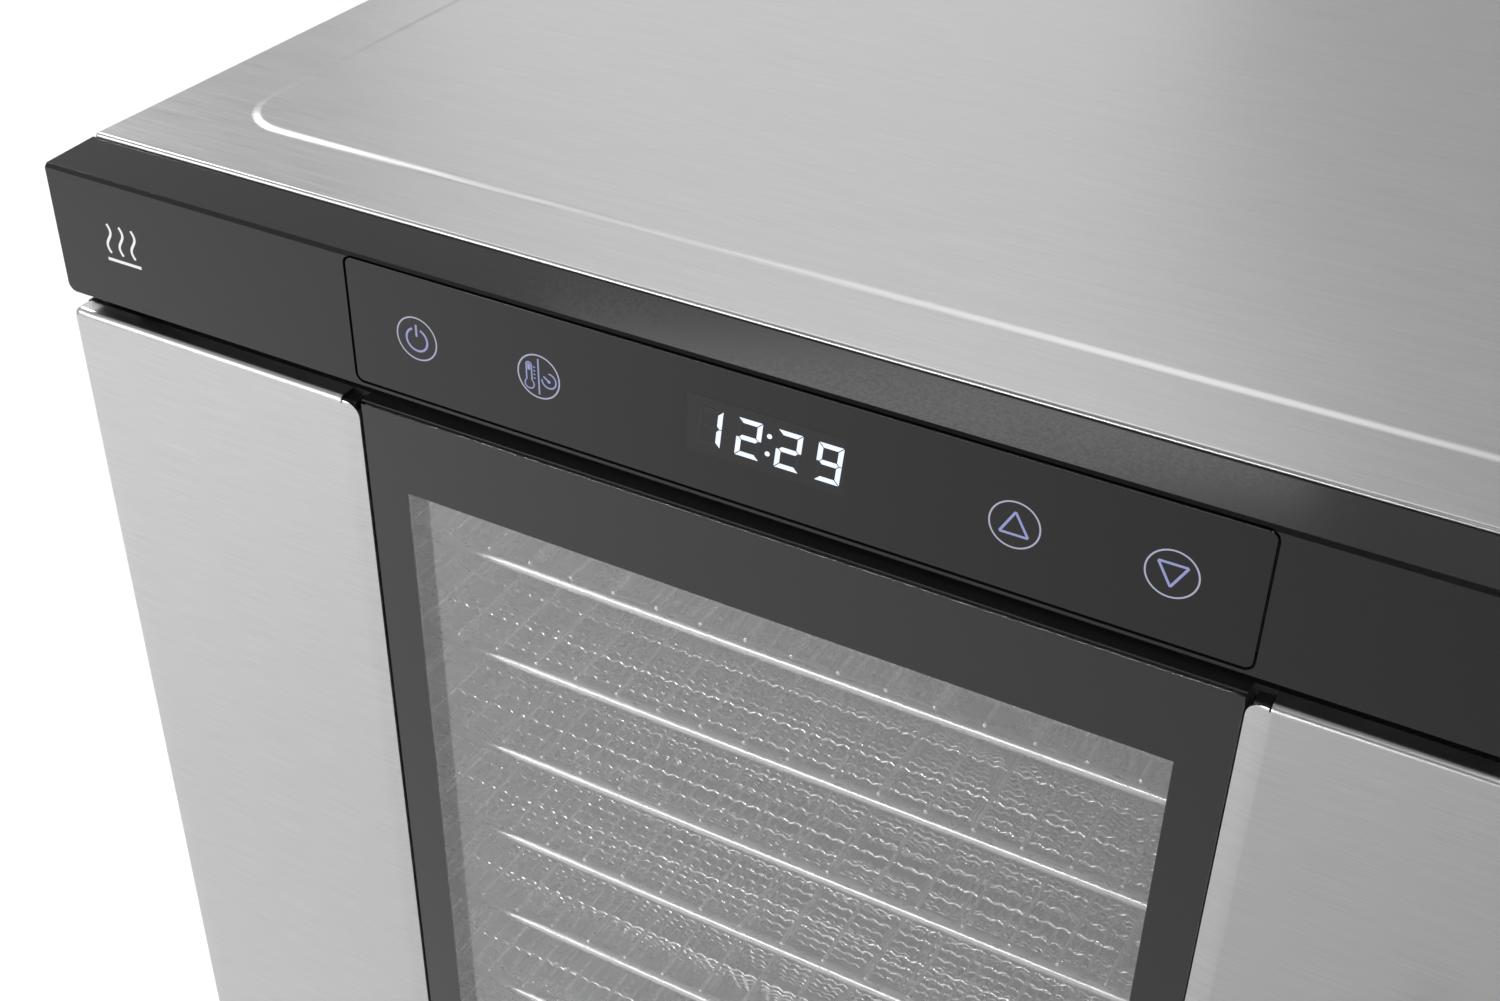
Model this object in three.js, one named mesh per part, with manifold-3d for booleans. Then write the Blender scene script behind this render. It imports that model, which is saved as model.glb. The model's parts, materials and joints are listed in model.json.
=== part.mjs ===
import * as THREE from 'three';
import { mergeVertices } from 'three/addons/utils/BufferGeometryUtils.js';
import Module from 'manifold-3d';

// A cabinet food dehydrator in mm. X runs across the front, Z is up.
// Depths are stated from the bezel's front face; addPiece moves them so that Y is centred.
const wasm = await Module();
wasm.setup();

const depthCentre = 219;
const halfWidth = 215;
const coverSheet = 0.8;
const linerSheet = 0.7;
const seam = 0.3;

const baseUnder = 12;
const rimTop = 468.4;
const fieldTop = 470;
const coverFront = 18.3;
const coverBack = 462;
const fieldInset = 24;
const fieldFront = 43;
const fieldBack = 437;
const fieldRadius = 18;

const bezelBottom = 429.1;
const bezelTop = 466;
const bezelDepth = 18;
const bezelRise = 0.9;
const panelHalf = 116;
const panelBottom = 430.5;
const panelTop = 465.3;
const displayCentreX = 0.9;
const displayCentreZ = 448.9;

const doorBottom = 20;
const doorTop = 424.2;
const frameFront = 4.3;
const frameBack = 14;
const windowHalf = 105;
const windowBottom = 42;
const windowTop = 401;
const hingeX = -210;
const hingeY = 9;
const pinRadius = 2.5;
const handleX = 165;
const handleY = -28;
const postHeights = [300, 150];

const chamberHalf = 197;
const chamberFloor = 30;
const chamberCeiling = 412;
const chamberFront = 17;
const chamberBack = 398;
const fanHeight = 221;
const housingBack = 437;
const glandX = -120;
const glandZ = 60;

const trayCount = 10;
const trayPitch = 35;
const topTrayHeight = 371.4;
const trayHalf = 193;
const trayFront = 17.05;
const trayBack = 394;
const trayHalfThickness = 2;
const ledgeSheet = 1.2;

const steel = { color: 0xc4c4c4, roughness: 0.35, metalness: 0.9 };
const galvanised = { color: 0xa8abad, roughness: 0.5, metalness: 0.8 };
const blackPlastic = { color: 0x303030, roughness: 0.5, metalness: 0 };
const glossBlack = { color: 0x181818, roughness: 0.08, metalness: 0 };
const rubber = { color: 0x1c1c1c, roughness: 0.9, metalness: 0 };
const clearGlass = { color: 0x9aa4a6, roughness: 0.05, metalness: 0, transparent: true, opacity: 0.35 };
const chrome = { color: 0xd4d6d8, roughness: 0.12, metalness: 1 };
const board = { color: 0x1f5a36, roughness: 0.6, metalness: 0 };
const sheath = { color: 0x5a5450, roughness: 0.5, metalness: 0.7 };
const ceramic = { color: 0x8a8076, roughness: 0.6, metalness: 0 };

const group = new THREE.Group();

function addPiece(name, geometry, look) {
  geometry.translate(0, -depthCentre, 0);
  const mesh = new THREE.Mesh(geometry, new THREE.MeshStandardMaterial(look));
  mesh.name = name;
  group.add(mesh);
}

function toSolid(geometry) {
  const bare = geometry.clone();
  bare.deleteAttribute('normal');
  bare.deleteAttribute('uv');
  const welded = mergeVertices(bare, 1e-4);
  return new wasm.Manifold(new wasm.Mesh({
    numProp: 3,
    vertProperties: new Float32Array(welded.attributes.position.array),
    triVerts: new Uint32Array(welded.index.array),
  }));
}

function toGeometry(solid) {
  const mesh = solid.getMesh();
  const geometry = new THREE.BufferGeometry();
  geometry.setAttribute('position', new THREE.BufferAttribute(new Float32Array(mesh.vertProperties), 3));
  geometry.setIndex(new THREE.BufferAttribute(new Uint32Array(mesh.triVerts), 1));
  const faceted = geometry.toNonIndexed();
  faceted.computeVertexNormals();
  return faceted;
}

function combine(base, added, removed) {
  let solid = toSolid(base);
  for (const geometry of added) {
    solid = solid.add(toSolid(geometry));
  }
  for (const geometry of removed) {
    solid = solid.subtract(toSolid(geometry));
  }
  return toGeometry(solid);
}

function block(x0, x1, y0, y1, z0, z1) {
  const geometry = new THREE.BoxGeometry(x1 - x0, y1 - y0, z1 - z0);
  return geometry.translate((x0 + x1) / 2, (y0 + y1) / 2, (z0 + z1) / 2);
}

// A round bar between two depths.
function barAlongY(x, z, radius, y0, y1, sides) {
  const geometry = new THREE.CylinderGeometry(radius, radius, y1 - y0, sides);
  return geometry.translate(x, (y0 + y1) / 2, z);
}

// A round bar between two heights; the foot radius may differ from the top radius.
function barAlongZ(x, y, topRadius, footRadius, z0, z1, sides) {
  const geometry = new THREE.CylinderGeometry(topRadius, footRadius, z1 - z0, sides);
  return geometry.rotateX(Math.PI / 2).translate(x, y, (z0 + z1) / 2);
}

function polygon(points) {
  return new THREE.Shape(points.map(([a, b]) => new THREE.Vector2(a, b)));
}

// Each arc draws the straight side that leads to it.
function roundedRectangle(a0, a1, b0, b1, radius) {
  const shape = new THREE.Shape();
  shape.absarc(a1 - radius, b0 + radius, radius, -Math.PI / 2, 0, false);
  shape.absarc(a1 - radius, b1 - radius, radius, 0, Math.PI / 2, false);
  shape.absarc(a0 + radius, b1 - radius, radius, Math.PI / 2, Math.PI, false);
  shape.absarc(a0 + radius, b0 + radius, radius, Math.PI, 1.5 * Math.PI, false);
  return shape;
}

// A shape drawn in X and Z, extruded from the front to the back.
function extrudeAlongY(shape, y0, y1, curveSegments = 4) {
  const geometry = new THREE.ExtrudeGeometry(shape, { depth: y1 - y0, bevelEnabled: false, curveSegments });
  return geometry.rotateX(Math.PI / 2).translate(0, y1, 0);
}

// A shape drawn in X and Y, extruded upwards.
function extrudeAlongZ(shape, z0, z1, curveSegments = 4) {
  const geometry = new THREE.ExtrudeGeometry(shape, { depth: z1 - z0, bevelEnabled: false, curveSegments });
  return geometry.translate(0, 0, z0);
}

function fieldOutline(inset) {
  const edge = halfWidth - fieldInset - inset;
  return roundedRectangle(-edge, edge, fieldFront + inset, fieldBack - inset, fieldRadius - inset);
}

function outerCover() {
  const inner = halfWidth - coverSheet;
  const bend = 3;
  const wrap = new THREE.Shape();
  wrap.moveTo(-halfWidth, baseUnder);
  wrap.lineTo(-inner, baseUnder);
  wrap.absarc(bend - halfWidth, rimTop - bend, bend - coverSheet, Math.PI, Math.PI / 2, true);
  wrap.absarc(halfWidth - bend, rimTop - bend, bend - coverSheet, Math.PI / 2, 0, true);
  wrap.lineTo(inner, baseUnder);
  wrap.lineTo(halfWidth, baseUnder);
  wrap.absarc(halfWidth - bend, rimTop - bend, bend, 0, Math.PI / 2, false);
  wrap.absarc(bend - halfWidth, rimTop - bend, bend, Math.PI / 2, Math.PI, false);
  const field = extrudeAlongZ(fieldOutline(0), rimTop - 0.5, fieldTop);
  const dish = extrudeAlongZ(fieldOutline(coverSheet), rimTop - 2, fieldTop - coverSheet);
  return combine(extrudeAlongY(wrap, coverFront, coverBack), [field], [dish]);
}

function basePan() {
  const outer = block(-213.5, 213.5, 18.6, 461.7, baseUnder, 18);
  const hollow = block(-212.7, 212.7, 19.4, 460.9, baseUnder + coverSheet, 19);
  return combine(outer, [], [hollow]);
}

function rearPanel() {
  const panel = block(-214.7, 214.7, coverBack + seam, coverBack + seam + coverSheet, 12.3, 468);
  const openings = [barAlongY(glandX, glandZ, 7, 460, 466, 20)];
  for (const x of [-120, 60]) {
    for (let row = 0; row < 7; row += 1) {
      const z = 176 + row * 15;
      openings.push(block(x, x + 60, 460, 466, z - 2.5, z + 2.5));
    }
  }
  return combine(panel, [], openings);
}

function frontBezel() {
  const corner = 2.5;
  const face = new THREE.Shape();
  face.absarc(halfWidth - corner, bezelBottom + corner, corner, -Math.PI / 2, 0, false);
  face.lineTo(halfWidth, bezelTop);
  face.lineTo(-halfWidth, bezelTop);
  face.absarc(corner - halfWidth, bezelBottom + corner, corner, Math.PI, 1.5 * Math.PI, false);
  const moulding = extrudeAlongY(face, 0, bezelDepth);
  const place = moulding.attributes.position;
  for (let i = 0; i < place.count; i += 1) {
    if (place.getZ(i) > bezelTop - 0.1 && place.getY(i) > bezelDepth - 0.1) {
      place.setZ(i, bezelTop + bezelRise);
    }
  }
  const pocket = extrudeAlongY(
    roundedRectangle(-panelHalf - seam, panelHalf + seam, panelBottom - seam, panelTop + seam, 3), -1, 2.6);
  const hollow = block(-205, 205, 5, 19, 432.5, 463);
  const displayHole = block(
    displayCentreX - 20.6, displayCentreX + 20.6, 2, 6, displayCentreZ - 7.9, displayCentreZ + 7.9);
  return combine(moulding, [], [pocket, hollow, displayHole]);
}

function controlGlass() {
  return extrudeAlongY(roundedRectangle(-panelHalf, panelHalf, panelBottom, panelTop, 2.7), 0.1, 2.3);
}

function displayModule() {
  const x = displayCentreX;
  const z = displayCentreZ;
  return block(x - 20.1, x + 20.1, 2.8, 8, z - 7.5, z + 7.5);
}

function linerShell() {
  const outside = chamberHalf + linerSheet;
  const tube = block(
    -outside, outside, chamberFront, chamberBack, chamberFloor - linerSheet, chamberCeiling + linerSheet);
  const flange = block(-214.7, 214.7, chamberFront, chamberFront + linerSheet, 12.3, 428.8);
  const hollow = block(-chamberHalf, chamberHalf, 16, 399, chamberFloor, chamberCeiling);
  return combine(tube, [flange], [hollow]);
}

// Heights run down from the top tray.
function trayHeight(index) {
  return topTrayHeight - trayPitch * index;
}

// A pressed strip with one ledge under each tray.
function rail(side) {
  const wall = side * 196.7;
  const inner = side * 196;
  const tip = side * 187;
  const points = [[wall, 42], [inner, 42]];
  for (let index = trayCount - 1; index >= 0; index -= 1) {
    const top = trayHeight(index) - trayHalfThickness - seam;
    points.push([inner, top - ledgeSheet], [tip, top - ledgeSheet], [tip, top], [inner, top]);
  }
  points.push([inner, 395], [wall, 395]);
  return extrudeAlongY(polygon(points), 20, 396);
}

function fanBaffle() {
  const plate = block(-197.9, 197.9, chamberBack + seam, chamberBack + seam + linerSheet, 29, 412.9);
  const slots = [];
  const inletRadius = 58;
  for (let row = -4; row <= 4; row += 1) {
    const z = fanHeight + row * 12;
    const reach = Math.sqrt(inletRadius ** 2 - (row * 12) ** 2);
    slots.push(block(-reach, reach, 397, 401, z - 3, z + 3));
  }
  for (const x of [-185, 150]) {
    for (let row = 0; row < 8; row += 1) {
      const z = 60 + row * 44;
      slots.push(block(x, x + 35, 397, 401, z, z + 8));
    }
  }
  return combine(plate, [], slots);
}

function fanHousing() {
  const outer = block(-197.9, 197.9, 399.6, housingBack, 29, 412.9);
  const hollow = block(-197.2, 197.2, 399, housingBack - linerSheet, 29.7, 412.2);
  const shaftHole = barAlongY(0, fanHeight, 7, 430, 440, 20);
  return combine(outer, [], [hollow, shaftHole]);
}

function fanWheel() {
  const disc = barAlongY(0, fanHeight, 58, 430.3, 431.8, 32);
  const hub = barAlongY(0, fanHeight, 9, 404, 431, 20);
  const blades = [];
  for (let index = 0; index < 8; index += 1) {
    const blade = block(7, 56, 404, 431, -0.8, 0.8);
    blades.push(blade.rotateY(index * Math.PI / 4).translate(0, 0, fanHeight));
  }
  return combine(disc, [hub, ...blades], [barAlongY(0, fanHeight, 3.3, 400, 435, 20)]);
}

function fanMotor() {
  const can = barAlongY(0, fanHeight, 34, housingBack + seam, 457.3, 32);
  return combine(can, [], [barAlongY(0, fanHeight, 3.1, 430, 448, 24)]);
}

function motorBracket() {
  const strap = polygon([
    [-47, 437.3], [-45.5, 437.3], [-45.5, 457.6], [45.5, 457.6],
    [45.5, 437.3], [47, 437.3], [47, 459], [-47, 459]]);
  return extrudeAlongZ(strap, fanHeight - 12, fanHeight + 12);
}

function heaterElement() {
  const ring = new THREE.TorusGeometry(78, 4, 8, 36);
  return ring.rotateX(Math.PI / 2).translate(0, 418, fanHeight);
}

function powerBoard() {
  const card = block(-70, 50, 90, 190, 419, 420.6);
  const standOffs = [];
  for (const x of [-66, 40]) {
    for (const y of [94, 180]) {
      standOffs.push(block(x, x + 6, y, y + 6, 413.3, 419.2));
    }
  }
  return combine(card, standOffs, []);
}

function cordGland() {
  const profile = [[4, 456], [6.6, 456], [6.6, 463.8], [10, 463.8], [10, 466], [7, 472], [4, 472], [4, 456]];
  const ring = new THREE.LatheGeometry(profile.map(([r, y]) => new THREE.Vector2(r, y)), 20);
  return ring.translate(glandX, 0, glandZ);
}

function doorFrame() {
  const plate = block(-213.7, 213.7, frameFront, frameBack, doorBottom, doorTop);
  const lands = [
    block(-213.7, -117.7, 0.1, 4.5, 21.5, 422.9),
    block(117.7, 213.7, 0.1, 4.5, 21.5, 422.9),
    block(-116.1, 116.1, 0.6, 4.5, 423.6, doorTop)];
  const pockets = [
    block(-windowHalf, windowHalf, 4, 15, windowBottom, windowTop),
    barAlongZ(hingeX, hingeY, 2.8, 2.8, 404, 425, 24),
    barAlongZ(hingeX, hingeY, 2.8, 2.8, 19, 40.5, 24),
    block(208.2, 212.8, 10, 15, 204.7, 245.3)];
  for (const z of postHeights) {
    pockets.push(barAlongY(handleX, z, 4.6, 11, 15, 20));
  }
  return combine(plate, lands, pockets);
}

function doorGlass() {
  return extrudeAlongY(roundedRectangle(-panelHalf, panelHalf, 22, 423.3, 2), 0, 4);
}

// A folded steel skin over one side of the door, with its top and bottom lips turned back.
function doorCover(side) {
  const points = [
    [116.4, -1.2], [213.5, -1.2], [214.56, -0.76], [215, 0.3], [215, 12],
    [214, 12], [214, -0.2], [117.4, -0.2], [117.4, 3.4], [116.4, 3.4]];
  const skin = extrudeAlongZ(polygon(points.map(([x, y]) => [side * x, y])), 20.2, doorTop);
  const ends = [side * 121.4, side * 214.5].sort((a, b) => a - b);
  const topLip = block(ends[0], ends[1], -0.7, 4, doorTop - 1, doorTop);
  const bottomLip = block(ends[0], ends[1], -0.7, 4, 20.2, 21.2);
  return combine(skin, [topLip, bottomLip], []);
}

function doorGasket() {
  const pad = extrudeAlongY(roundedRectangle(-207, 207, 25, 419, 4), 14.3, 16.6);
  return combine(pad, [], [block(-202, 202, 14, 17, 30, 414)]);
}

function hingeBracket(z0, z1) {
  const plate = block(-214.5, -196, 5.5, 16.7, z0, z1);
  return combine(plate, [], [barAlongZ(hingeX, hingeY, 2.6, 2.6, z0 - 1, z1 + 1, 24)]);
}

// One tray at height 0: a frame with bars from front to back.
function trayGrille() {
  const border = 4.5;
  const barWidth = 3;
  const columns = 12;
  const outline = roundedRectangle(-trayHalf, trayHalf, trayFront, trayBack, 6);
  const plate = extrudeAlongZ(outline, -trayHalfThickness, trayHalfThickness, 3);
  const pitch = (2 * (trayHalf - border) + barWidth) / columns;
  const slots = [];
  for (let column = 0; column < columns; column += 1) {
    const x = border - trayHalf + column * pitch;
    slots.push(block(x, x + pitch - barWidth, trayFront + border, trayBack - border, -3, 3));
  }
  return combine(plate, [], slots);
}

function crumbTray() {
  const outer = block(-192, 192, 17.5, 395, 30.3, 37);
  const hollow = block(-191.2, 191.2, 18.3, 394.2, 31.1, 38);
  return combine(outer, [], [hollow]);
}

addPiece('outer_cover', outerCover(), steel);
addPiece('base_pan', basePan(), galvanised);
addPiece('rear_panel', rearPanel(), galvanised);
addPiece('front_bezel', frontBezel(), blackPlastic);
addPiece('control_glass', controlGlass(), glossBlack);
addPiece('display_module', displayModule(), blackPlastic);
addPiece('control_board', block(-112, 112, 8.3, 9.9, 435, 461), board);
addPiece('liner_shell', linerShell(), galvanised);
addPiece('rail_left', rail(-1), galvanised);
addPiece('rail_right', rail(1), galvanised);
addPiece('fan_baffle', fanBaffle(), galvanised);
addPiece('fan_housing', fanHousing(), galvanised);
addPiece('fan_motor', fanMotor(), blackPlastic);
addPiece('motor_bracket', motorBracket(), galvanised);
addPiece('heater_element', heaterElement(), sheath);
addPiece('power_board', powerBoard(), board);
addPiece('temperature_probe', barAlongZ(60, 388, 2.5, 2.5, 387, 411.7, 16), sheath);
addPiece('thermal_cutout', barAlongY(95, 300, 8, housingBack + seam, 446, 20), ceramic);
addPiece('terminal_block', block(-136, -104, 438, 454, 84, 100), ceramic);
addPiece('cord_gland', cordGland(), blackPlastic);
addPiece('hinge_bracket_top', hingeBracket(424.9, 427.2), steel);
addPiece('hinge_bracket_bottom', hingeBracket(16.8, 19.3), steel);
for (const [end, y] of [['front', 52], ['rear', 428]]) {
  for (const [side, x] of [['left', -185], ['right', 185]]) {
    addPiece(`foot_${end}_${side}`, barAlongZ(x, y, 14, 12, 0, baseUnder - seam, 24), rubber);
  }
}
for (const [level, z] of [['top', 455], ['bottom', 25]]) {
  for (const [side, x] of [['left', -205], ['right', 205]]) {
    addPiece(`rear_screw_${level}_${side}`, barAlongY(x, z, 4, 463.8, 466, 16), steel);
  }
}

addPiece('fan_wheel', fanWheel(), galvanised);
addPiece('fan_shaft', barAlongY(0, fanHeight, 3, 402, 447, 24), steel);

addPiece('door_frame', doorFrame(), blackPlastic);
addPiece('door_glass', doorGlass(), clearGlass);
addPiece('door_cover_left', doorCover(-1), steel);
addPiece('door_cover_right', doorCover(1), steel);
addPiece('door_gasket', doorGasket(), rubber);
addPiece('door_magnet', block(208.5, 212.5, 10.3, frameBack, 205, 245), rubber);
addPiece('hinge_pin_top', barAlongZ(hingeX, hingeY, pinRadius, pinRadius, 404.5, 427.2, 24), steel);
addPiece('hinge_pin_bottom', barAlongZ(hingeX, hingeY, pinRadius, pinRadius, 16.8, 40, 24), steel);
addPiece('handle_bar', barAlongZ(handleX, handleY, 6, 6, 125, 325, 24), steel);
for (const [level, z] of [['top', postHeights[0]], ['bottom', postHeights[1]]]) {
  addPiece(`handle_post_${level}`, barAlongY(handleX, z, 5, -21.7, -1.5, 20), steel);
  addPiece(`handle_screw_${level}`, barAlongY(handleX, z, 4.2, 11.3, 13.7, 16), steel);
}

const grille = trayGrille();
for (let index = 0; index < trayCount; index += 1) {
  const name = `tray_${String(index + 1).padStart(2, '0')}`;
  addPiece(name, grille.clone().translate(0, 0, trayHeight(index)), chrome);
}
addPiece('crumb_tray', crumbTray(), galvanised);

export default group;
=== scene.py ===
# The looks of a cabinet food dehydrator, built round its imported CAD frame.
# The frame is in metres with +Z up, and the door faces -Y.
# Sizes below are in mm: x from the middle, y from the bezel's face and z from the floor.
import json
import math
import bpy
from mathutils import Matrix, Vector

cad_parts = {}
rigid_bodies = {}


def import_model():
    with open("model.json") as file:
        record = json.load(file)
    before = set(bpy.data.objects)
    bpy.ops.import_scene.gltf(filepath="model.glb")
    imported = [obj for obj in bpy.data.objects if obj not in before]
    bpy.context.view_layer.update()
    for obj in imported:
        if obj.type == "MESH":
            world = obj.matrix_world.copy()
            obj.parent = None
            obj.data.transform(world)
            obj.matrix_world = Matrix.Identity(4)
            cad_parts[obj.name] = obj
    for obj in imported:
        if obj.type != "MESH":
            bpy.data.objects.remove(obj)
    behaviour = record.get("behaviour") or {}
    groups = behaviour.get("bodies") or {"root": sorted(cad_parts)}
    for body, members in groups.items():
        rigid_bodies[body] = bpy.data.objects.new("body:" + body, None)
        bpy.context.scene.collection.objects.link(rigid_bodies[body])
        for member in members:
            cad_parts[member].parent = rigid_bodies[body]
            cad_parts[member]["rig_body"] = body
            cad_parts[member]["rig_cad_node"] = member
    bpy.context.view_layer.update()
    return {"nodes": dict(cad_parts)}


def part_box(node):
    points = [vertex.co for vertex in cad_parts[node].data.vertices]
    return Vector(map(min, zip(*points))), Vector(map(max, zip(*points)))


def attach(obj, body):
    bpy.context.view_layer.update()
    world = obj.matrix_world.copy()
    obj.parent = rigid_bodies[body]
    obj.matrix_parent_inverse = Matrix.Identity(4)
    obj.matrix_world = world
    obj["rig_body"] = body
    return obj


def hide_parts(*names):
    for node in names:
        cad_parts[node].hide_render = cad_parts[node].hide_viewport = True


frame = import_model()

mm = 0.001
mostWeighted = 20000  # a piece with more faces, such as a tray, keeps its plain smooth shading
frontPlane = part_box("front_bezel")[0].y


# small tools

def at(x, y, z):
    return Vector((x * mm, frontPlane + y * mm, z * mm))


def inMm(node):
    # a CAD node's lowest and highest corners in the units used below
    low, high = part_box(node)
    lift = Vector((0, frontPlane, 0))
    return (low - lift) / mm, (high - lift) / mm


def selectNone():
    bpy.ops.object.select_all(action="DESELECT")


def makeActive(piece):
    selectNone()
    piece.select_set(True)
    bpy.context.view_layer.objects.active = piece


def keepPlace(name):
    # names the new object and moves its place, turn and scale into its mesh
    piece = bpy.context.object
    piece.name = name
    bpy.ops.object.transform_apply(location=True, rotation=True, scale=True)
    return piece


def addBlock(name, low, high):
    start, end = at(*low), at(*high)
    selectNone()
    bpy.ops.mesh.primitive_cube_add(size=1, location=(start + end) / 2, scale=end - start)
    return keepPlace(name)


def addRod(name, start, end, radius, sides=48, endRadius=None):
    a, b = at(*start), at(*end)
    turn = (b - a).to_track_quat("Z", "Y").to_euler()
    selectNone()
    bpy.ops.mesh.primitive_cone_add(
        vertices=sides, radius1=radius * mm, radius2=(endRadius or radius) * mm,
        depth=(b - a).length, location=(a + b) / 2, rotation=turn)
    return keepPlace(name)


def pick(piece, kind, test):
    # selects the faces, edges or vertices that pass the test and stays in edit mode
    makeActive(piece)
    bpy.ops.object.mode_set(mode="EDIT")
    bpy.ops.mesh.select_mode(type=kind)
    bpy.ops.mesh.select_all(action="DESELECT")
    bpy.ops.object.mode_set(mode="OBJECT")
    mesh = piece.data
    if kind == "FACE":
        for face in mesh.polygons:
            face.select = test(face.center, face.normal)
    elif kind == "EDGE":
        for edge in mesh.edges:
            edge.select = test(*(mesh.vertices[i].co for i in edge.vertices))
    else:
        for vertex in mesh.vertices:
            vertex.select = test(vertex.co)
    bpy.ops.object.mode_set(mode="EDIT")


def leaveEdit():
    bpy.ops.object.mode_set(mode="OBJECT")


def applyModifier(piece, kind, settings):
    makeActive(piece)
    modifier = piece.modifiers.new(kind.lower(), kind)
    for key, value in settings.items():
        setattr(modifier, key, value)
    bpy.ops.object.modifier_apply(modifier=modifier.name)


def repeatAlong(piece, count, step):
    applyModifier(piece, "ARRAY", {"count": count, "use_relative_offset": False, "use_constant_offset": True,
                                   "constant_offset_displace": step})


def softenEdges(piece, width, segments=3, angle=30):
    applyModifier(piece, "BEVEL", {"width": width * mm, "segments": segments, "limit_method": "ANGLE",
                                   "angle_limit": math.radians(angle)})


def cutWith(piece, cutters):
    for cutter in cutters:
        applyModifier(piece, "BOOLEAN", {"object": cutter, "operation": "DIFFERENCE", "solver": "EXACT"})
        bpy.data.objects.remove(cutter, do_unlink=True)


def joinPieces(pieces):
    makeActive(pieces[0])
    for other in pieces[1:]:
        other.select_set(True)
    bpy.ops.object.join()
    return pieces[0]


def roundEdgesAlong(piece, axis, radius, segments=8):
    # rounds the edges that run along one axis (0 x, 1 y, 2 z)
    def runsAlong(a, b):
        step = b - a
        return abs(step[axis]) > 0.999 * step.length
    pick(piece, "EDGE", runsAlong)
    bpy.ops.mesh.bevel(offset=radius * mm, segments=segments, affect="EDGES")
    leaveEdit()


def addRow(name, steps):
    # a row of vertices along x with an edge between each two, 1 m long
    selectNone()
    bpy.ops.mesh.primitive_grid_add(x_subdivisions=steps, y_subdivisions=1, size=1)
    row = keepPlace(name)
    pick(row, "VERT", lambda c: c.y > 0)
    bpy.ops.mesh.delete(type="VERT")
    leaveEdit()
    return row


def addRoundedPlane(name, start, end, radius, segments):
    # a flat plane with round corners, all selected and still in edit mode
    selectNone()
    bpy.ops.mesh.primitive_plane_add(size=1, location=(start + end) / 2)
    bpy.context.object.scale = (end.x - start.x, end.y - start.y, 1)
    plane = keepPlace(name)
    pick(plane, "VERT", lambda c: True)
    bpy.ops.mesh.bevel(offset=radius * mm, segments=segments, affect="VERTICES")
    bpy.ops.mesh.select_all(action="SELECT")
    return plane


def thickenEdges(piece, radius, resolution=1):
    # turns a mesh of bare edges into a round wire
    makeActive(piece)
    bpy.ops.object.convert(target="CURVE")
    wire = bpy.context.object
    wire.data.bevel_depth = radius * mm
    wire.data.bevel_resolution = resolution
    wire.data.use_fill_caps = True
    bpy.ops.object.convert(target="MESH")
    return bpy.context.object


def finishPiece(piece, material, body, nodes=(), angle=35):
    # gives a piece its material and smooth shading, puts it on its body and hides the CAD nodes it stands
    # for
    makeActive(piece)
    piece.data.materials.clear()
    piece.data.materials.append(material)
    bpy.ops.object.shade_smooth_by_angle(angle=math.radians(angle))
    if len(piece.data.polygons) < mostWeighted:
        # keeps the large faces flat right up to their rounded edges
        applyModifier(piece, "WEIGHTED_NORMAL", {"keep_sharp": True})
    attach(piece, body)
    if nodes:
        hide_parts(*nodes)
    return piece


def copyPiece(piece, name, shift):
    makeActive(piece)
    bpy.ops.object.duplicate(linked=False)
    double = bpy.context.object
    double.name = name
    double.data.transform(Matrix.Translation(Vector(shift) * mm))
    return double


def dressNode(node, material):
    for holder in frame["nodes"][node].material_slots:
        holder.material = material


def refineNode(node, width, material, body, segments=2):
    # a merged copy of a CAD node with its edges broken, as a press or a mould leaves them
    source = frame["nodes"][node]
    makeActive(source)
    bpy.ops.object.duplicate(linked=False)
    piece = bpy.context.object
    piece.parent = None
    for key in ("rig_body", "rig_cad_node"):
        if key in piece:
            del piece[key]
    piece.name = node + "_shaped"
    bpy.ops.object.mode_set(mode="EDIT")
    bpy.ops.mesh.select_all(action="SELECT")
    bpy.ops.mesh.remove_doubles(threshold=0.00001)
    bpy.ops.mesh.dissolve_limited(angle_limit=math.radians(1))
    leaveEdit()
    softenEdges(piece, width, segments)
    return finishPiece(piece, material, body, [node])


# materials

def linear(hexColour):
    # an sRGB hex colour as linear red, green, blue and alpha
    values = [int(hexColour[i:i + 2], 16) / 255 for i in (1, 3, 5)]
    return [v / 12.92 if v <= 0.04045 else ((v + 0.055) / 1.055) ** 2.4 for v in values] + [1]


def addNode(tree, kind, settings, links=()):
    # settings are attributes or input values by name, links are (input, output socket) pairs
    node = tree.nodes.new(kind)
    for key, value in settings.items():
        if key in node.inputs:
            node.inputs[key].default_value = value
        else:
            setattr(node, key, value)
    for key, source in links:
        tree.links.new(source, node.inputs[key])
    return node


def startMaterial(name, colour, roughness, metallic=0.0, **inputs):
    material = bpy.data.materials.new(name)
    material.use_nodes = True
    tree = material.node_tree
    shader = tree.nodes["Principled BSDF"]
    shader.inputs["Base Color"].default_value = linear(colour)
    shader.inputs["Roughness"].default_value = roughness
    shader.inputs["Metallic"].default_value = metallic
    for key, value in inputs.items():
        shader.inputs[key].default_value = value
    return material, tree, shader


def grain(tree, sizes, detail=3.0):
    # noise with its own grain size along x, y and z, in mm
    scale = [1000 / size for size in sizes]
    coordinates = addNode(tree, "ShaderNodeTexCoord", {})
    mapping = addNode(tree, "ShaderNodeMapping", {"Scale": scale},
                      [("Vector", coordinates.outputs["Object"])])
    return addNode(tree, "ShaderNodeTexNoise", {"Scale": 1.0, "Detail": detail, "Roughness": 0.6},
                   [("Vector", mapping.outputs["Vector"])]).outputs["Fac"]


def spread(tree, source, low, high):
    # brings a noise value from its useful middle band to the band low to high
    return addNode(tree, "ShaderNodeMapRange",
                   {"From Min": 0.3, "From Max": 0.7, "To Min": low, "To Max": high},
                   [("Value", source)]).outputs["Result"]


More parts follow.
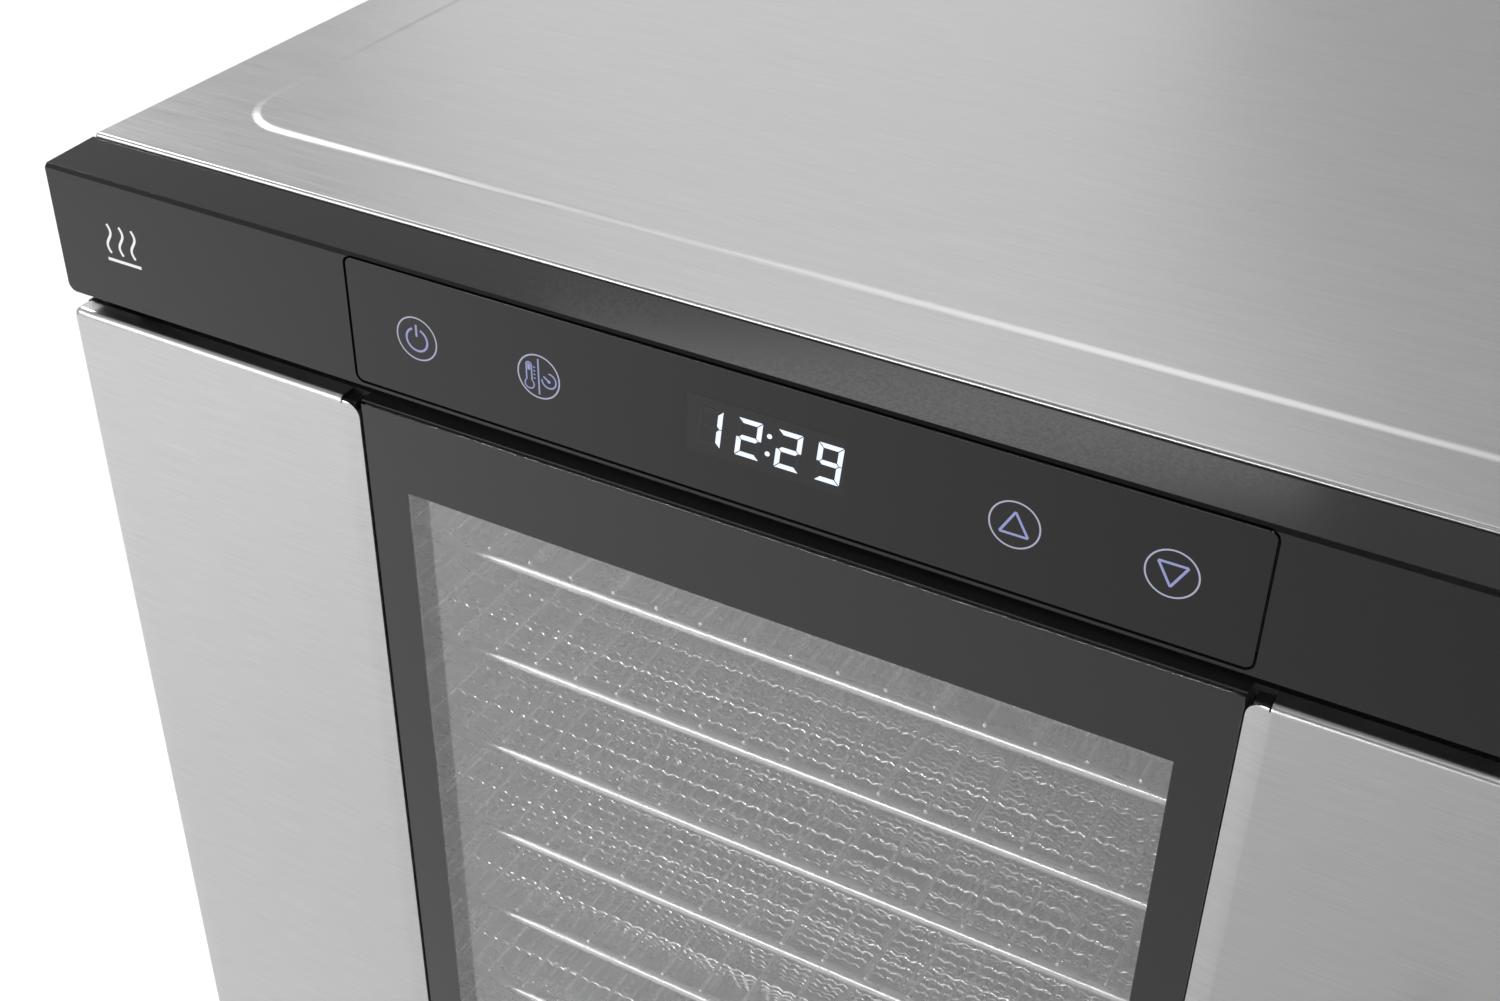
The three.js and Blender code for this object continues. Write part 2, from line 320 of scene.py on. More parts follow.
def tintBy(tree, shader, source, dark, light):
    mix = addNode(tree, "ShaderNodeMix", {"data_type": "RGBA"})
    mix.inputs[6].default_value = linear(dark)
    mix.inputs[7].default_value = linear(light)
    tree.links.new(source, mix.inputs[0])
    tree.links.new(mix.outputs[2], shader.inputs["Base Color"])


def bumpBy(tree, shader, source, strength, depth):
    # depth is the real height of the relief in mm
    bump = addNode(tree, "ShaderNodeBump", {"Strength": strength, "Distance": depth * mm},
                   [("Height", source)])
    tree.links.new(bump.outputs["Normal"], shader.inputs["Normal"])


def brushedSteel(name, sizes, dark, light, roughness):
    # stainless sheet, belt brushed: fine straight lines that spread a reflection across them
    material, tree, shader = startMaterial(name, light, roughness, 1.0)
    lines = grain(tree, sizes, 2.0)
    tintBy(tree, shader, spread(tree, lines, 0, 1), dark, light)
    tree.links.new(spread(tree, lines, roughness - 0.03, roughness + 0.03), shader.inputs["Roughness"])
    bumpBy(tree, shader, lines, 0.1, 0.01)
    return material


def plainSheet(name, dark, light, roughness, metallic=1.0):
    # zinc coated or blasted sheet: dull metal with faint cloudy patches
    material, tree, shader = startMaterial(name, light, roughness, metallic)
    clouds = grain(tree, (18, 12, 12), 4.0)
    tintBy(tree, shader, spread(tree, clouds, 0, 1), dark, light)
    tree.links.new(spread(tree, clouds, roughness - 0.06, roughness + 0.06), shader.inputs["Roughness"])
    return material


def mouldedPlastic(name, dark, light, roughness, grit, relief):
    # injection moulded ABS from a spark eroded mould: a fine even grit
    material, tree, shader = startMaterial(name, light, roughness, 0.0, IOR=1.5)
    grains = grain(tree, (grit, grit, grit), 2.0)
    tintBy(tree, shader, spread(tree, grains, 0, 1), dark, light)
    tree.links.new(spread(tree, grains, roughness - 0.04, roughness + 0.05), shader.inputs["Roughness"])
    bumpBy(tree, shader, grains, 0.25, relief)
    return material


def printedGlass(name, colour):
    # back printed panel glass: a mirror flat gloss over a dense black
    material, tree, shader = startMaterial(name, colour, 0.04, 0.0, IOR=1.52)
    film = grain(tree, (60, 60, 60), 2.0)
    tree.links.new(spread(tree, film, 0.03, 0.06), shader.inputs["Roughness"])
    return material


def groundEdge(name):
    # the pane's ground edge: dull and dark from the print behind it, with the wheel's slanting marks
    material, tree, shader = startMaterial(name, "#2A2A2A", 0.4, 0.0, IOR=1.5)
    marks = grain(tree, (0.7, 5, 5), 1.0)
    tintBy(tree, shader, spread(tree, marks, 0, 1), "#242424", "#424242")
    bumpBy(tree, shader, marks, 0.3, 0.1)
    return material


def chromePlate(name):
    # bright nickel and chromium on drawn wire: a hard mirror, a little softened by the drawing lines
    material, tree, shader = startMaterial(name, "#E2E3E4", 0.29, 1.0)
    lines = grain(tree, (6, 1.5, 1.5), 2.0)
    tree.links.new(spread(tree, lines, 0.25, 0.33), shader.inputs["Roughness"])
    return material


def clearPane(name, mirrored):
    # float glass with a heat reflecting tin oxide coat: clear, but it mirrors more than plain glass does
    material, tree, shader = startMaterial(name, "#FFFFFF", 0.0, 1.0)
    # Schlick's curve holds on both faces of the pane
    lean = addNode(tree, "ShaderNodeLayerWeight", {"Blend": 0.5})
    curve = addNode(tree, "ShaderNodeMath", {"operation": "POWER"}, [(0, lean.outputs["Facing"])])
    curve.inputs[1].default_value = 5.0
    edge = addNode(tree, "ShaderNodeMath", {"operation": "MULTIPLY_ADD"}, [(0, curve.outputs[0])])
    edge.inputs[1].default_value = 1 - mirrored
    edge.inputs[2].default_value = mirrored
    clear = addNode(tree, "ShaderNodeBsdfTransparent", {"Color": linear("#FCFCFC")})
    mix = addNode(tree, "ShaderNodeMixShader", {})
    tree.links.new(edge.outputs[0], mix.inputs[0])
    tree.links.new(clear.outputs["BSDF"], mix.inputs[1])
    tree.links.new(shader.outputs["BSDF"], mix.inputs[2])
    tree.links.new(mix.outputs["Shader"], tree.nodes["Material Output"].inputs["Surface"])
    return material


def litMark(name, colour, strength):
    # a light guide behind the panel glass: even light with almost no surface of its own
    material, _, shader = startMaterial(name, "#101014", 0.2)
    shader.inputs["Emission Color"].default_value = linear(colour)
    shader.inputs["Emission Strength"].default_value = strength
    return material


def mattRubber(name):
    # moulded silicone rubber: dead matt with a slight bloom
    material, tree, shader = startMaterial(name, "#1E1E1E", 0.75, 0.0, IOR=1.45)
    bloom = grain(tree, (5, 5, 5))
    tintBy(tree, shader, spread(tree, bloom, 0, 1), "#181818", "#262626")
    bumpBy(tree, shader, grain(tree, (0.6, 0.6, 0.6), 1.0), 0.2, 0.03)
    return material


def speckled(name, dark, light, roughness, metallic, size):
    # small hidden parts: solder mask, sintered ceramic, oxidised sheath, paint or painted shade, each
    # slightly uneven
    material, tree, shader = startMaterial(name, light, roughness, metallic)
    spots = grain(tree, (size, size, size))
    tintBy(tree, shader, spread(tree, spots, 0, 1), dark, light)
    bumpBy(tree, shader, spots, 0.15, 0.05)
    return material


steelTop = brushedSteel("brushedStainlessCover", (22, 0.45, 22), "#C2C2C2", "#CCCCCC", 0.33)
steelDoor = brushedSteel("brushedStainlessDoorSkin", (22, 22, 0.45), "#C2C2C2", "#CCCCCC", 0.33)
steelUpright = brushedSteel("brushedStainlessBar", (0.6, 0.6, 30), "#C0C0C0", "#D2D2D2", 0.24)
zincSheet = plainSheet("zincCoatedSheet", "#A4A6A8", "#B8BABC", 0.42)
chamberSheet = plainSheet("beadBlastedStainlessChamber", "#CFCFCF", "#D8D8D8", 0.5, 0.2)
bezelPlastic = mouldedPlastic("satinBlackAbs", "#161616", "#1A1A1A", 0.13, 0.8, 0.004)
framePlastic = mouldedPlastic("texturedBlackAbs", "#131313", "#1C1C1C", 0.5, 1.2, 0.12)
# the hinge brackets are near black as painted shade, for the shadowed gap under the bezel
bracketPaintedShade = speckled("bracketSteelPaintedShade", "#2A2A2C", "#38383A", 0.5, 1.0, 2)
panelBlack = printedGlass("backPrintedPanelGlass", "#0E0E0E")
windowBlack = printedGlass("smokedDisplayWindow", "#18181B")
unlitGrey = printedGlass("unlitLedSegment", "#1F1F26")
borderBlack = printedGlass("ceramicPrintedBorder", "#282828")
edgeGlass = groundEdge("groundGlassEdge")
wireChrome = chromePlate("chromedDrawnWire")
doorPane = clearPane("heatReflectingFloatGlass", 0.17)
digitLight = litMark("whiteLedSegment", "#E6EDFF", 1.15)
haloLight = litMark("blueLedGlow", "#4A4E70", 0.55)
ringLight = litMark("paleTouchRing", "#B6B8D2", 0.8)
iconLight = litMark("lilacTouchMark", "#9CA2D8", 0.8)
# the white pad print is no lamp: its even light is a painted glow
paintedGlowPrint = litMark("whitePadPrintPaintedGlow", "#F4F4F4", 0.9)
rubberBlack = mattRubber("mouldedSiliconeRubber")
boardGreen = speckled("solderMaskBoard", "#123C22", "#1B5230", 0.4, 0.0, 3)
sheathDark = speckled("oxidisedHeaterSheath", "#4A4440", "#6A625C", 0.5, 0.8, 2)
paintBlack = speckled("blackMotorPaint", "#141416", "#1E1E20", 0.45, 0.0, 1.5)
ceramicBuff = speckled("sinteredCeramic", "#867C70", "#A0968A", 0.7, 0.0, 2)
print("materials made")


# the steel cover with its pressed field

coverSet = {"rimDrop": 1.6, "bend": 1.6, "roll": 1.0, "hem": 7.0, "foot": 13.0, "sheet": 0.8,
            "fieldInset": 23.9, "fieldRadius": 18.5, "stepWidth": 3.2, "stepHeight": 0.62, "stepRings": 10}


def makeOuterCover(settings):
    low, high = inMm("outer_cover")
    rim = high.z - settings["rimDrop"]
    cover = addBlock("outer_cover_skin", low, (high.x, high.y, rim))
    front, back, top, side = at(0, low.y, 0).y, at(0, high.y, 0).y, rim * mm, high.x * mm
    near = 0.00001
    pick(cover, "EDGE", lambda a, b: abs(a.z - top) < near and abs(b.z - top) < near
         and abs(abs(a.x) - side) < near and abs(a.x - b.x) < near)
    bpy.ops.mesh.bevel(offset=settings["bend"] * mm, segments=6, affect="EDGES")
    leaveEdit()
    # the front and back rims are rolled and turned in, all but the lower edge
    for rimPlane in (front, back):
        pick(cover, "EDGE", lambda a, b: abs(a.y - rimPlane) < near and abs(b.y - rimPlane) < near
             and max(a.z, b.z) > settings["foot"] * mm)
        bpy.ops.mesh.bevel(offset=settings["roll"] * mm, segments=8, affect="EDGES")
        leaveEdit()
        pick(cover, "FACE", lambda c, n: abs(n.y) > 0.999 and abs(c.y - rimPlane) < near)
        bpy.ops.mesh.inset(thickness=settings["hem"] * mm)
        bpy.ops.mesh.delete(type="FACE")
        leaveEdit()
    pick(cover, "FACE", lambda c, n: n.z < -0.999 and c.z < low.z * mm + near)
    bpy.ops.mesh.delete(type="FACE")
    leaveEdit()
    pick(cover, "FACE", lambda c, n: n.z > 0.999 and abs(c.z - top) < near)
    bpy.ops.mesh.delete(type="ONLY_FACE")
    leaveEdit()
    # the field is pressed up in a soft step with rounded corners
    inset = settings["fieldInset"]
    start = at(low.x + inset, low.y + inset, rim)
    end = at(high.x - inset, high.y - inset, rim)
    field = addRoundedPlane("cover_field", start, end, settings["fieldRadius"], 14)
    bpy.ops.mesh.select_mode(type="FACE")
    bpy.ops.mesh.select_all(action="SELECT")
    rings = settings["stepRings"]
    for ring in range(rings):
        lift = [(1 - math.cos(math.pi * k / rings)) / 2 for k in (ring, ring + 1)]
        bpy.ops.mesh.inset(thickness=settings["stepWidth"] / rings * mm,
                           depth=settings["stepHeight"] * (lift[1] - lift[0]) * mm)
    leaveEdit()
    cover = joinPieces([cover, field])
    # the open edges at the rim's height are filled between the field and the outer rim
    flat = 0.000001
    makeActive(cover)
    bpy.ops.object.mode_set(mode="EDIT")
    bpy.ops.mesh.select_mode(type="EDGE")
    bpy.ops.mesh.select_all(action="DESELECT")
    bpy.ops.mesh.select_non_manifold(extend=False)
    bpy.ops.object.mode_set(mode="OBJECT")
    for edge in cover.data.edges:
        heights = [cover.data.vertices[i].co.z for i in edge.vertices]
        edge.select = edge.select and all(abs(height - top) < flat for height in heights)
    bpy.ops.object.mode_set(mode="EDIT")
    bpy.ops.mesh.fill(use_beauty=True)
    bpy.ops.mesh.select_all(action="SELECT")
    bpy.ops.mesh.remove_doubles(threshold=flat)
    bpy.ops.mesh.normals_make_consistent(inside=False)
    leaveEdit()
    applyModifier(cover, "SOLIDIFY", {"thickness": settings["sheet"] * mm, "offset": -1.0})
    finishPiece(cover, steelTop, "cabinet", ["outer_cover"], 40)


makeOuterCover(coverSet)
print("cover made")


# the bezel, its panel, marks and display

bezelSet = {"endRadius": 2.5, "rise": 0.4, "edge": 0.25, "chamfer": 0.95, "gap": 0.55, "pocket": 2.6,
            "panelRadius": 2.0, "panelEdge": 0.25,
            "hollow": ((-205, 5, 432.5), (205, 20, 463)),
            "displayHole": ((-19.7, 2, 441), (21.5, 6, 456.8))}


def makeBezel(settings):
    low, high = inMm("front_bezel")
    glassLow, glassHigh = inMm("control_glass")
    # the top slopes down from the back edge to the front one
    high.z += settings["rise"]
    bezel = addBlock("front_bezel_moulding", low, high)
    back = at(0, high.y, 0).y
    pick(bezel, "VERT", lambda c: c.z > (high.z - 1) * mm and c.y < back - 0.001)
    bpy.ops.transform.translate(value=(0, 0, -2 * settings["rise"] * mm))
    leaveEdit()
    top, front = (high.z - 2 * settings["rise"]) * mm, at(0, low.y, 0).y
    pick(bezel, "EDGE", lambda a, b: abs(a.x - b.x) < 0.0001 and abs(a.z - b.z) < 0.0001
         and a.z < top - 0.01)
    bpy.ops.mesh.bevel(offset=settings["endRadius"] * mm, segments=6, affect="EDGES")
    leaveEdit()
    pick(bezel, "EDGE", lambda a, b: all(abs(c.z - top) < 0.0001 and abs(c.y - front) < 0.0001
                                         for c in (a, b)))
    bpy.ops.mesh.bevel(offset=settings["chamfer"] * mm, segments=1, affect="EDGES")
    leaveEdit()
    gap = settings["gap"]
    pocket = addBlock("pocket", (glassLow.x - gap, -2, glassLow.z - gap),
                      (glassHigh.x + gap, settings["pocket"], glassHigh.z + gap))
    roundEdgesAlong(pocket, 1, settings["panelRadius"] + gap, 6)
    hollow = addBlock("hollow", *settings["hollow"])
    hole = addBlock("hole", *settings["displayHole"])
    cutWith(bezel, [pocket, hollow, hole])
    softenEdges(bezel, settings["edge"], 3, 25)
    finishPiece(bezel, bezelPlastic, "cabinet", ["front_bezel"])
    glass = addBlock("control_glass_panel", glassLow, glassHigh)
    roundEdgesAlong(glass, 1, settings["panelRadius"], 8)
    softenEdges(glass, settings["panelEdge"], 3)
    finishPiece(glass, panelBlack, "cabinet", ["control_glass"])


makeBezel(bezelSet)

markPlane = inMm("control_glass")[0].y
markSet = {"height": 448.0, "ring": 5.85, "ringStroke": 0.23, "arrowHalf": 3.3, "arrowFoot": 2.5,
           "bulb": -2.7, "stem": 0.75, "clock": 2.9, "ticks": 4}


def flattenOn(piece, plane, share):
    # presses a raised mark flat against the plane at that depth
    face = at(0, plane, 0).y
    for vertex in piece.data.vertices:
        vertex.co.y = face + (vertex.co.y - face) * share


def finishMark(piece, name, material):
    piece.name = name
    flattenOn(piece, markPlane, 0.12)
    finishPiece(piece, material, "cabinet")


def markArc(x, z, radius, stroke, startDeg=0.0, sweepDeg=360.0, corners=64):
    # an arc of a circle on the panel, measured clockwise from the top
    selectNone()
    bpy.ops.mesh.primitive_circle_add(vertices=corners, radius=radius * mm, location=at(x, markPlane, z),
                                      rotation=(math.radians(90), 0, 0))
    arc = keepPlace("arc")
    if sweepDeg < 360:
        centre = at(x, markPlane, z)

        def outside(c):
            turn = math.degrees(math.atan2(c.x - centre.x, c.z - centre.z)) - startDeg
            return turn % 360 > sweepDeg
        pick(arc, "VERT", outside)
        bpy.ops.mesh.delete(type="VERT")
        leaveEdit()
    return thickenEdges(arc, stroke)


def markBar(x0, z0, x1, z1, stroke):
    return addRod("bar", (x0, markPlane, z0), (x1, markPlane, z1), stroke, 8)


def drawStroke(x, z, stroke):
    # a bar has its two ends and its stroke, an arc has its middle and the rest of what markArc takes
    kind, dx, dz, *rest = stroke
    if kind == "arc":
        return markArc(x + dx, z + dz, *rest)
    endX, endZ, thick = rest
    return markBar(x + dx, z + dz, x + endX, z + endZ, thick)


def arrowStrokes(way, settings):
    # a triangle that points up (way 1) or down (way -1)
    half, foot = settings["arrowHalf"], -way * settings["arrowFoot"]
    return [("bar", -half, foot, half, foot, 0.3), ("bar", -half, foot, 0, way * half, 0.3),
            ("bar", half, foot, 0, way * half, 0.3)]


def modeStrokes(settings):
    # a thermometer with its ticks and a clock, on either side of a divider
    bulb, stem, clock = settings["bulb"], settings["stem"], settings["clock"]
    return [("bar", 0, -4.9, 0, 4.9, 0.22),
            ("arc", bulb, -2.6, 1.3, 0.2, 32, 296, 24),
            ("bar", bulb - stem, -1.6, bulb - stem, 2.6, 0.2),
            ("bar", bulb + stem, -1.6, bulb + stem, 2.6, 0.2),
            ("arc", bulb, 2.6, stem, 0.2, 270, 180, 24),
            ("bar", bulb, 1.2, bulb, 2.9, 0.42),
            ("arc", clock, -0.4, 2.0, 0.24, 350, 290, 32),
            ("bar", clock, -0.6, clock - 1.5, 0.5, 0.24),
            ("arc", clock, -0.6, 0.28, 0.2, 0, 360, 16)
            ] + [("bar", bulb + 1.25, 2.3 - tick, bulb + 1.8, 2.3 - tick, 0.16)
                 for tick in range(settings["ticks"])]


def makeMarks(settings):
    z = settings["height"]
    powerStrokes = [("arc", 0, -0.3, 3.1, 0.34, 16, 328, 48), ("bar", 0, 0.6, 0, 3.9, 0.306)]
    marks = [("mark_power", -95.8, powerStrokes), ("mark_heat_and_time", -60.1, modeStrokes(settings)),
             ("mark_up", 61.4, arrowStrokes(1, settings)), ("mark_down", 96.3, arrowStrokes(-1, settings))]
    for name, x, strokes in marks:
        finishMark(joinPieces([drawStroke(x, z, stroke) for stroke in strokes]), name, iconLight)
    for name, x, _ in marks:
        finishMark(markArc(x, z, settings["ring"], settings["ringStroke"]), name + "_ring", ringLight)


makeMarks(markSet)

displaySet = {"centre": (0.9, 448.9), "window": (40.5, 15.4), "shift": 1.0, "pitch": 10.16, "height": 10.3,
              "width": 6.3, "stroke": 1.25, "gap": 0.16, "slantDeg": 6.0, "digits": "1229",
              "colonRadius": 0.66, "colonRise": 2.4, "glow": 0.4,
              "litLift": 0.12, "glowLift": 0.08, "darkLift": 0.05}
litSegments = {"1": "bc", "2": "abged", "9": "abcdfg"}


def segmentOutlines(wide, tall, stroke, gap):
    # the seven bars of a digit as outlines about its middle, with mitred ends
    w, t, g, half = wide / 2, tall / 2, gap, stroke / 2
    top = [(-w + g, t), (w - g, t), (w - stroke - g, t - stroke), (-w + stroke + g, t - stroke)]
    right = [(w, t - g), (w, g * 0.7), (w - half, g * 0.7), (w - stroke, half + g),
             (w - stroke, t - stroke - g)]
    middle = [(-w + half + g, 0), (-w + stroke + g, half), (w - stroke - g, half), (w - half - g, 0),
              (w - stroke - g, -half), (-w + stroke + g, -half)]

    def turned(points, sx, sz):
        return [(x * sx, z * sz) for x, z in points]
    return {"a": top, "b": right, "c": turned(right, 1, -1), "d": turned(top, 1, -1),
            "e": turned(right, -1, -1), "f": turned(right, -1, 1), "g": middle}


def makePlate(name, outline, x, z, lift, grow=0.0):
    # a thin plate on the panel glass from an outline; it can be grown all round
    selectNone()
    bpy.ops.mesh.primitive_circle_add(vertices=len(outline), radius=1, fill_type="NGON")
    plate = bpy.context.object
    plate.name = name
    for vertex, (dx, dz) in zip(plate.data.vertices, outline):
        vertex.co = at(x + dx, markPlane - lift, z + dz)
    makeActive(plate)
    bpy.ops.object.mode_set(mode="EDIT")
    bpy.ops.mesh.select_all(action="SELECT")
    if grow:
        bpy.ops.mesh.inset(thickness=grow * mm, use_outset=True)
        bpy.ops.mesh.select_all(action="SELECT")
    bpy.ops.mesh.normals_make_consistent(inside=False)
    leaveEdit()
    applyModifier(plate, "SOLIDIFY", {"thickness": 0.02 * mm, "offset": 0.0})
    return plate


def makeDisplay(settings):
    centreX, centreZ = settings["centre"]
    wide, tall = settings["window"]
    window = addBlock("display_window", (centreX - wide / 2, markPlane - 0.03, centreZ - tall / 2),
                      (centreX + wide / 2, markPlane + 0.1, centreZ + tall / 2))
    softenEdges(window, 0.02, 1)
    finishPiece(window, windowBlack, "cabinet")
    outlines = segmentOutlines(settings["width"], settings["height"], settings["stroke"], settings["gap"])
    lean = math.tan(math.radians(settings["slantDeg"]))
    litLift, glowLift = settings["litLift"], settings["glowLift"]
    lit, dark, glow = [], [], []
    middle = centreX + settings["shift"]
    for index, digit in enumerate(settings["digits"]):
        x = middle + (index - 1.5) * settings["pitch"]
        for letter, outline in outlines.items():
            if letter in litSegments[digit]:
                lit.append(makePlate("bar", outline, x, centreZ, litLift))
                glow.append(makePlate("glow", outline, x, centreZ, glowLift, settings["glow"]))
            else:
                dark.append(makePlate("bar", outline, x, centreZ, settings["darkLift"]))
    radius, corners = settings["colonRadius"], 24
    turns = [2 * math.pi * corner / corners for corner in range(corners)]
    ring = [(math.sin(turn) * radius, math.cos(turn) * radius) for turn in turns]
    for way in (1, -1):
        height = centreZ + way * settings["colonRise"]
        lit.append(makePlate("dot", ring, middle, height, litLift))
        glow.append(makePlate("glow", ring, middle, height, glowLift, settings["glow"]))
    for name, bars, look in (("display_lit_segments", lit, digitLight),
                             ("display_dark_segments", dark, unlitGrey), ("display_glow", glow, haloLight)):
        digits = joinPieces(bars)
        digits.name = name
        for vertex in digits.data.vertices:
            vertex.co.x += lean * (vertex.co.z - centreZ * mm)
        finishPiece(digits, look, "cabinet")


makeDisplay(displaySet)

signSet = {"left": -196.0, "height": 449.5, "waves": 3, "pitch": 4.2, "tall": 8.5, "sway": 0.9,
           "stroke": 0.45, "lineDrop": 2.0, "lineReach": 1.6, "steps": 20}


def makeWarmAirSign(settings):
    # a plain warm air sign in white pad print: rising waves over a tray line, the white given an even
    # painted glow
    plane = 0.0
    strokes = []
    for index in range(settings["waves"]):
        x = settings["left"] + index * settings["pitch"]
        wave = addRow("wave", settings["steps"])
        for vertex in wave.data.vertices:
            share = vertex.co.x
            sway = settings["sway"] * math.sin(2 * math.pi * share)
            vertex.co = at(x + sway, plane, settings["height"] + share * settings["tall"])
        strokes.append(thickenEdges(wave, settings["stroke"]))
    last = settings["left"] + (settings["waves"] - 1) * settings["pitch"]
    foot, reach = settings["height"] - settings["tall"] / 2 - settings["lineDrop"], settings["lineReach"]
    strokes.append(addRod("line", (settings["left"] - reach, plane, foot), (last + reach, plane, foot),
                          settings["stroke"], 8))
    sign = joinPieces(strokes)
    sign.name = "warm_air_sign"
    flattenOn(sign, plane, 0.1)
    finishPiece(sign, paintedGlowPrint, "cabinet")


makeWarmAirSign(signSet)
print("bezel made")


# the door

doorSet = {"sheet": 0.8, "fold": 1.9, "corner": 2.9, "band": 5.0, "bandDrop": 1.1, "bandCorner": 4.2,
           "slit": 0.3, "slitDepth": 6.0, "strips": 6, "rollWidth": 6.0, "rollPower": 1.4,
           "innerRoll": {-1: 0.5, 1: 1.2}, "outerRoll": 0.5}


def makeDoorCover(side, settings):
    node = "door_cover_left" if side < 0 else "door_cover_right"
    low, high = inMm(node)
    inner, outer = (high.x, low.x) if side < 0 else (low.x, high.x)
    cover = addBlock(node + "_skin", low, high)
    front = at(0, low.y, 0).y
    near = 0.00001
    for z in (high.z, low.z):
        pick(cover, "EDGE", lambda a, b: all(abs(c.x - outer * mm) < near and abs(c.z - z * mm) < near
                                             for c in (a, b)))
        bpy.ops.mesh.bevel(offset=settings["corner"] * mm, segments=6, affect="EDGES")
        leaveEdit()
    # strips along both upright edges let the sheet roll back softly there
    strips, first = settings["strips"], settings["corner"] + 0.2
    for index in range(strips):
        reach = first + (settings["rollWidth"] - first) * index / (strips - 1)
        for x in (inner + side * reach, outer - side * reach):
            pick(cover, "FACE", lambda c, n: abs(n.x) < 0.99)
            bpy.ops.mesh.bisect(plane_co=(x * mm, 0, 0), plane_no=(1, 0, 0))
            leaveEdit()

    def onOutline(a, b):
        if not all(abs(c.y - front) < near for c in (a, b)):
            return False
        upright = abs(a.x - b.x) < near and abs(a.z - b.z) > 0.1
        return not upright or abs(a.x - outer * mm) < near
    pick(cover, "EDGE", onOutline)
    bpy.ops.mesh.bevel(offset=settings["fold"] * mm, segments=6, affect="EDGES")
    leaveEdit()
    for vertex in cover.data.vertices:
        if vertex.co.y < front + settings["fold"] * mm + near:
            for edge, depth in ((inner, settings["innerRoll"][side]), (outer, settings["outerRoll"])):
                share = max(0.0, 1 - abs(vertex.co.x / mm - edge) / settings["rollWidth"])
                vertex.co.y += depth * share ** settings["rollPower"] * mm
    pick(cover, "FACE", lambda c, n: n.y > 0.999)
    bpy.ops.mesh.delete(type="FACE")
    leaveEdit()
    applyModifier(cover, "SOLIDIFY", {"thickness": settings["sheet"] * mm, "offset": -1.0})
    # beside the glass the front sheet stops lower than the fold, with a round corner and a slit beside it
    step, radius, band = high.z - settings["bandDrop"], settings["bandCorner"], settings["band"]
    bandEdges = sorted((inner - side, inner + side * band))
    slitEdges = sorted((inner + side * (band - 0.1), inner + side * (band + settings["slit"])))
    cornerEdges = sorted((inner - side, inner + side * radius))
    cornerCut = addBlock("corner", (cornerEdges[0], low.y - 2, step - radius),
                         (cornerEdges[1], high.y + 2, step + 1))
    cutWith(cornerCut, [addRod("round", (inner + side * radius, low.y - 3, step - radius),
                               (inner + side * radius, high.y + 3, step - radius), radius, 64)])
    bandCut = addBlock("band", (bandEdges[0], low.y - 2, step), (bandEdges[1], high.y + 2, high.z + 2))
    slitCut = addBlock("slit", (slitEdges[0], low.y - 2, step - settings["sheet"]),
                       (slitEdges[1], low.y + settings["slitDepth"], high.z + 2))
    cutWith(cover, [bandCut, slitCut, cornerCut])
    finishPiece(cover, steelDoor, "door", [node], 40)


for doorSide in (-1, 1):
    makeDoorCover(doorSide, doorSet)

glassSet = {"corner": 2.0, "edge": 0.12, "borderSide": 12.4, "borderTop": 23.7, "borderBottom": 30.0,
            "inset": 0.1, "printProud": 0.03, "printDepth": 0.05, "rimProud": 0.04, "rimFront": 0.15,
            "rimBack": 0.02}


def makeDoorGlass(settings):
    low, high = inMm("door_glass")
    corner, inset, proud = settings["corner"], settings["inset"], settings["rimProud"]
    pane = addBlock("door_glass_pane", low, high)
    roundEdgesAlong(pane, 1, corner, 6)
    softenEdges(pane, settings["edge"], 2)
    finishPiece(pane, doorPane, "door", ["door_glass"])
    # the fired black border, as smooth as the glass round it
    border = addBlock("door_glass_border", (low.x + inset, low.y - settings["printProud"], low.z + inset),
                      (high.x - inset, low.y + settings["printDepth"], high.z - inset))
    window = addBlock("window", (low.x + settings["borderSide"], -5, low.z + settings["borderBottom"]),
                      (high.x - settings["borderSide"], 10, high.z - settings["borderTop"]))
    cutWith(border, [window])
    finishPiece(border, borderBlack, "door")
    # the ground edge all round the pane
    rim = addBlock("door_glass_edge", (low.x - proud, low.y + settings["rimFront"], low.z - proud),
                   (high.x + proud, high.y - settings["rimBack"], high.z + proud))
    roundEdgesAlong(rim, 1, corner + proud, 6)
    inside = addBlock("inside", (low.x + inset, -5, low.z + inset), (high.x - inset, 10, high.z - inset))
    roundEdgesAlong(inside, 1, corner - inset, 6)
    cutWith(rim, [inside])
    finishPiece(rim, edgeGlass, "door")


makeDoorGlass(glassSet)

frameSet = {"side": 105.0, "foot": 42.0, "wider": 10.0, "lower": 7.0, "heights": (30, 410), "reach": 115}


def makeDoorFrame(settings):
    # its window opens a little wider, so that the printed border alone edges the view
    piece = refineNode("door_frame", 0.4, framePlastic, "door")
    lowest, highest = settings["heights"]
    for vertex in piece.data.vertices:
        if abs(abs(vertex.co.x / mm) - settings["side"]) < 1 and lowest < vertex.co.z / mm < highest:
            vertex.co.x += math.copysign(settings["wider"] * mm, vertex.co.x)
        if abs(vertex.co.z / mm - settings["foot"]) < 1 and abs(vertex.co.x / mm) < settings["reach"]:
            vertex.co.z -= settings["lower"] * mm


makeDoorFrame(frameSet)
refineNode("door_gasket", 0.8, rubberBlack, "door", 3)
refineNode("door_magnet", 0.3, rubberBlack, "door")


handleSet = {"endRound": 2.2, "seatDepth": 2.2, "seatWider": 1.4, "seatEdge": 0.5}


